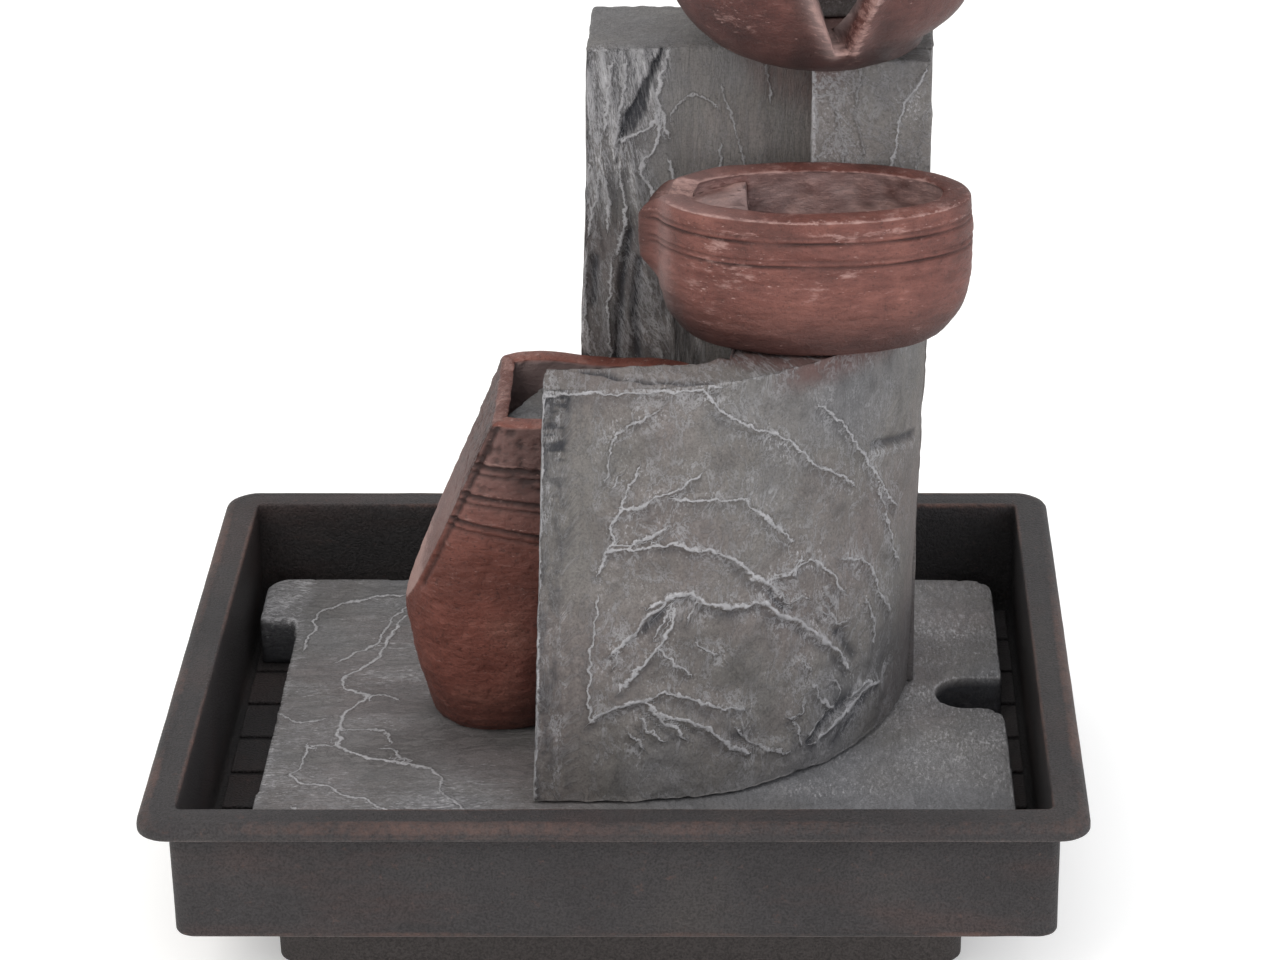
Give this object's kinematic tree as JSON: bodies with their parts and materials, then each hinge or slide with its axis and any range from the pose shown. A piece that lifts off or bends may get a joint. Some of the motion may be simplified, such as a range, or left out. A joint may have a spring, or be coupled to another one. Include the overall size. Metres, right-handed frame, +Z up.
{
  "type": "indoor fountain",
  "caption": "Tabletop cascade fountain: slate-look rockery with pouring terracotta bowls and a jar on a tray, fed by a submersible pump and hose hidden under it",
  "frame": {"origin": "on the floor, under the middle of the tray", "axes": "+X to the right, +Y to the back, +Z up"},
  "size_m": [0.3, 0.24, 0.34],
  "materials": {
    "tray": "moulded, stippled, rubbed at the edges",
    "rubber_pad": "moulded",
    "slate": "cast and dry-brushed",
    "terracotta": "cast and rubbed",
    "hose": "silicone, satin",
    "pump_plastic": "moulded",
    "impeller": "moulded",
    "magnet": "sintered",
    "shaft": "ground",
    "core": "stacked sheet",
    "winding": "enamelled wire",
    "potting": "cast resin",
    "dial": "moulded",
    "cup": "moulded, soft"
  },
  "bodies": {
    "basin": {"basin": "tray", "basin_feet": "rubber_pad", "pump_housing": "pump_plastic", "outlet_spigot": "pump_plastic", "chamber_cover": "pump_plastic", "rotor_shaft": "shaft", "front_bush": "rubber_pad", "rear_bush": "rubber_pad", "stator_core": "core", "stator_winding": "winding", "potting": "potting", "cable_gland": "rubber_pad", "suction_cups": "cup"},
    "rockery": {"base_slab": "slate", "rear_column": "slate", "side_block": "slate", "front_block": "slate", "jar": "terracotta", "jar_ledge": "slate", "middle_bowl": "terracotta", "top_bowl": "terracotta", "outlet_rock": "slate", "outlet_elbow": "pump_plastic", "supply_hose": "hose"},
    "rotor": {"impeller": "impeller", "rotor_magnet": "magnet"},
    "strainer": {"strainer_cover": "pump_plastic"},
    "dial": {"flow_dial": "dial"}
  },
  "joints": [
    {"name": "rockery_lift", "type": "slide", "parent": "basin", "child": "rockery", "axis": [0, 0, 1], "range_m": [0, 0.1]},
    {"name": "impeller_spin", "type": "hinge", "parent": "basin", "child": "rotor", "pos_m": [0.062, 0.03, 0.0274], "axis": [0, -1, 0], "continuous": true},
    {"name": "strainer_slide", "type": "slide", "parent": "basin", "child": "strainer", "axis": [0, -1, 0], "range_m": [0, 0.012]},
    {"name": "dial_turn", "type": "hinge", "parent": "strainer", "child": "dial", "pos_m": [0.062, 0.012, 0.0274], "axis": [0, -1, 0], "range_deg": [0, 90]}
  ]
}
